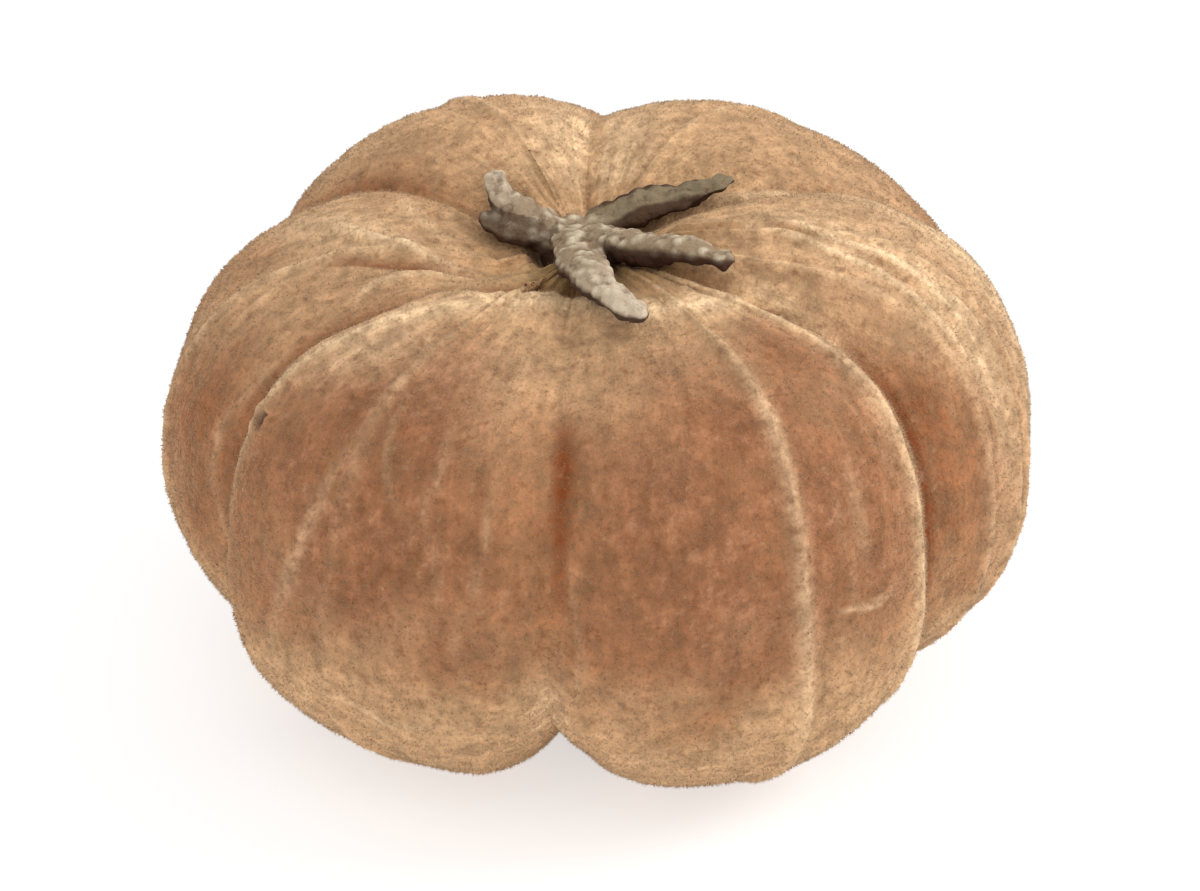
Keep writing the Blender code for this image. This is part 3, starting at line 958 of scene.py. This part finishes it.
# For each point the nearest arm, the share of that arm's length, and half widths beside it
def nearestArm(points, lines):
    nearest = np.full(len(points), np.inf)
    armOf = np.zeros(len(points), int)
    alongArm, aside = np.zeros(len(points)), np.zeros(len(points))
    for i, line in enumerate(lines):
        gap = np.linalg.norm(points[:, None] - line[None, :], axis=2)
        closest = gap.min(axis=1)
        better = closest < nearest
        nearest[better] = closest[better]
        armOf[better] = i
        at = gap.argmin(axis=1)[better]
        alongArm[better] = at / (star["rings"] - 1)
        level = np.linalg.norm((points[better] - line[at])[:, :2], axis=1)
        aside[better] = level / star["arms"][i][3]
    return armOf, alongArm, aside


def makeStar():
    room, gap = star["hubFoot"]
    floor = crownUnder(np.array(pod["starX"]), np.array(0.0), star["hubRadius"] * room)
    floor = floor + star["clearance"] * gap
    parts, lines = [], []
    for arm in star["arms"]:
        halfWidth, halfThickness = arm[3:5]
        ring, centres = armRings(arm, floor + star["hubRise"] - halfThickness)
        ahead = centres[-1] - centres[-2]
        tip = centres[-1] + ahead / np.linalg.norm(ahead) * halfWidth * star["tipLength"]
        parts.append(closeGrid(ring, centres[0], tip))
        lines.append(centres)
    points, normals, faces = fused(parts + [hubMesh(floor)])
    armOf, alongArm, aside = nearestArm(points, lines)
    crust = np.array(
        [noise.voronoi(p)[0][0] for p in (points / star["crustGrain"]).tolist()]
    )
    fine = star["fineFurrows"]
    furrow = noiseAt(points + fine["shift"], fine["grain"]) * fine["share"]
    furrow = noiseAt(points, star["furrowGrain"]) + furrow
    relief = star["crustHeight"] * (star["crustMiddle"] - crust) + star["furrowHeight"] * furrow
    leaf = np.array(star["arms"])[armOf, 6] * smooth(alongArm, *star["leafStart"])
    tipTone, tone, sideTone = np.array(star["armTones"])[armOf].T
    sides = sideTone * (1 - smooth(normals[:, 2], *star["sideSlope"]))
    masks = dict(
        crust=np.clip(1 - crust * star["crustFall"], 0, 1) * (1 - star["leafSmoothness"] * leaf),
        # facing: how far each point faces up, which sets the painted shade on the undersides
        facing=normals[:, 2] * 0.5 + 0.5,
        tip=smooth(alongArm, *star["tipStart"]) * tipTone,
        leaf=leaf,
        # shade: painted shadow and painted shade on the arms, and the dark edges of the flat arm
        shade=np.maximum(tone + sides, leaf * smooth(aside, *star["leafEdge"])),
    )
    points = points + normals * relief[:, None] + shift
    addPiece("withered_star", points, faces, driedStyle(), masks, "style_star")


# Withered style tissue: crusty grey-brown bark over near black folds, quite matt, with painted
# shade on the arms' undersides and a painted shadow on one arm
bark = dict(
    base="99846A",
    # mask, colour, and the values of the mask between which it comes in
    layers=(
        ("crust", "D8C8AD", 0.10, 0.75),
        ("leaf", "83745A", 0.0, 1.0),
        ("tip", "D4C1A9", 0.0, 1.2),
        # painted shadow and painted shade on the arms, and the flat arm's dark edges
        ("shade", "381E12", 0.0, 1.0),
    ),
    layerShare=0.85,
    # colour, range of the mask or noise, share at most
    # underside: painted shade where the tissue faces down
    underside=("361F13", 0.70, 0.44, 0.92),
    folds=("533725", 0.52, 0.66, 0.6),
    # grain, detail and roughness of each noise
    mottle=(0.5, 3.0, 0.65),
    fine=(0.16, 2.0, 0.7),
    reliefHeight=0.1,
)


def driedStyle():
    material, tree, shader = startMaterial(
        "withered_style_tissue",
        {"Roughness": 0.9, "IOR": 1.45, "Specular IOR Level": 0.25},
    )
    place = addNode(tree, "ShaderNodeTexCoord").outputs["Object"]
    mottle = noiseOf(tree, place, bark["mottle"], mm)
    fine = noiseOf(tree, place, bark["fine"], mm)
    colour = plainColour(tree, bark["base"])
    for mask, code, low, high in bark["layers"]:
        share = ranged(tree, maskOf(tree, mask), low, high, 0.0, bark["layerShare"])
        colour = mixed(tree, colour, share, code)
    # painted shade on the undersides, then dark folds from the noise
    darkenings = ((maskOf(tree, "facing"), bark["underside"]), (mottle, bark["folds"]))
    for source, (code, low, high, most) in darkenings:
        colour = mixed(tree, colour, ranged(tree, source, low, high, 0.0, most), code)
    finishMaterial(tree, shader, colour, added(tree, fine, mottle), bark["reliefHeight"])
    return material


makeStar()

# The corky stub in the base
stub = dict(
    radius=1.75,
    length=1.9,
    clearance=0.3,
    poleGap=0.001,  # radians beside the pole, where the depth of the base hollow is read
    rings=44,
    sides=120,
    furrows=15,
    furrowDepth=0.16,
    furrowPower=0.6,
    furrowBend=(0.8, 3),  # how far the furrows wander, and how often
    corkGrain=0.5,
    corkHeight=0.09,
    # shares of the radius and of the length, from the top down
    profile=(
        (0.0, 0.0), (0.72, 0.0), (0.86, 0.25), (0.95, 0.60), (1.00, 0.85), (0.86, 1.0),
        (0.45, 0.93),
    ),
)


def makeStub():
    fall = pod["baseHollow"][0] - hollow(stub["radius"], pod["baseHollow"])
    top = huskForm(np.array(0.0), np.array(math.pi - stub["poleGap"]))[2] - stub["clearance"] - fall
    start = np.array([-pod["crownLean"], 0, top]) + shift
    share, down = np.array(stub["profile"]).T
    way = np.linspace(0, 1, stub["rings"] + 2)[1:-1]
    knots = np.concatenate(([0], np.cumsum(np.hypot(np.diff(share), np.diff(down)))))
    knots /= knots[-1]
    radius = np.interp(way, knots, share) * stub["radius"]
    drop = np.interp(way, knots, down) * stub["length"]
    angle = 2 * math.pi * np.arange(stub["sides"]) / stub["sides"]
    bend, count = stub["furrowBend"]
    ridge = np.abs(np.sin(angle * stub["furrows"] / 2 + bend * np.sin(count * angle)))
    furrow = 1 - ridge[None, :] ** stub["furrowPower"]
    reach = radius[:, None] * (1 - stub["furrowDepth"] * furrow)
    height = np.broadcast_to(-drop[:, None], reach.shape)
    grid = np.stack([reach * np.cos(angle), reach * np.sin(angle), height], axis=-1)
    rough = noiseAt(grid.reshape(-1, 3), stub["corkGrain"]).reshape(reach.shape)
    grid = grid + gridNormals(grid) * (rough * stub["corkHeight"])[..., None] + start
    grid[..., 2] = np.maximum(grid[..., 2], 0)
    points, faces = closeGrid(grid, grid[0].mean(axis=0), grid[-1].mean(axis=0))
    masks = dict(furrow=asList(np.broadcast_to(1 - ridge, reach.shape)))
    addPiece("corky_stub", points, faces, corkyStalk(), masks, "stalk_stub")


# Stalk cork: dark brown, cracked, dull
cork = dict(
    dark="4A3122",
    pale="7C5A40",
    paleRange=(0.35, 0.65),
    furrow="2C1B12",
    furrowRange=(0.4, 0.95),
    furrowShare=0.8,
    mottle=(0.35, 4.0, 0.7),  # grain, detail and roughness of the noise
    reliefHeight=0.15,
)


def corkyStalk():
    material, tree, shader = startMaterial(
        "corky_stalk_end",
        {"Roughness": 0.95, "IOR": 1.45, "Specular IOR Level": 0.2},
    )
    place = addNode(tree, "ShaderNodeTexCoord").outputs["Object"]
    mottle = noiseOf(tree, place, cork["mottle"], mm)
    share = ranged(tree, mottle, *cork["paleRange"], 0.0, 1.0)
    colour = mixed(tree, plainColour(tree, cork["dark"]), share, cork["pale"])
    deep = ranged(tree, maskOf(tree, "furrow"), *cork["furrowRange"], 0.0, cork["furrowShare"])
    colour = mixed(tree, colour, deep, cork["furrow"])
    finishMaterial(tree, shader, colour, mottle, cork["reliefHeight"])
    return material


makeStub()

# Pale floor, soft light and the camera
studio = dict(
    floorSize=4.0,
    floorColour="BCBCBC",
    floorGlow=0.6,  # the floor is lit from below as well, so it shows almost no shadow
    worldColour="FFFFFF",
    worldStrength=0.8,
    # direction from the pod, distance in metres, size in metres, power in watts
    lights=(
        ("key_softbox", (1.0, 0.1, 0.75), 0.7, 0.35, 2.4),
        ("front_fill", (-0.2, -0.8, 1.0), 0.8, 0.6, 1.2),
    ),
    elevation=29.0,
    distance=0.5,
    viewWidth=41.2,
    aim=(0.15, 0.0, 9.08),
)


def makeStudio():
    half = studio["floorSize"] / 2
    corners = [(-half, -half, 0), (half, -half, 0), (half, half, 0), (-half, half, 0)]
    sheet = bpy.data.meshes.new("studio_floor")
    sheet.from_pydata(corners, [], [(0, 1, 2, 3)])
    paint, _, shader = startMaterial("glowing_light_table", {"Roughness": 0.9})
    shader.inputs["Base Color"].default_value = linear(studio["floorColour"])
    shader.inputs["Emission Color"].default_value = linear("FFFFFF")
    shader.inputs["Emission Strength"].default_value = studio["floorGlow"]
    sheet.materials.append(paint)
    floor = bpy.data.objects.new("studio_floor", sheet)
    bpy.context.scene.collection.objects.link(floor)
    world = bpy.data.worlds.new("studio")
    world.use_nodes = True
    back = world.node_tree.nodes["Background"]
    back.inputs["Color"].default_value = linear(studio["worldColour"])
    back.inputs["Strength"].default_value = studio["worldStrength"]
    bpy.context.scene.world = world
    aim = Vector(studio["aim"]) * mm
    for name, way, distance, size, power in studio["lights"]:
        lamp = bpy.data.lights.new(name, "AREA")
        lamp.size, lamp.energy = size, power
        holder = bpy.data.objects.new(name, lamp)
        bpy.context.scene.collection.objects.link(holder)
        holder.location = aim + Vector(way).normalized() * distance
        holder.rotation_euler = (-Vector(way)).to_track_quat("-Z", "Y").to_euler()
    camera = bpy.data.cameras.new("camera")
    holder = bpy.data.objects.new("camera", camera)
    bpy.context.scene.collection.objects.link(holder)
    tilt = math.radians(studio["elevation"])
    back = Vector((0, -math.cos(tilt), math.sin(tilt)))
    holder.location = aim + back * studio["distance"]
    holder.rotation_euler = (-back).to_track_quat("-Z", "Y").to_euler()
    camera.lens = camera.sensor_width * studio["distance"] / (studio["viewWidth"] * mm)
    bpy.context.scene.camera = holder
    bpy.context.scene.view_settings.view_transform = "Standard"


makeStudio()
print("studio ready")
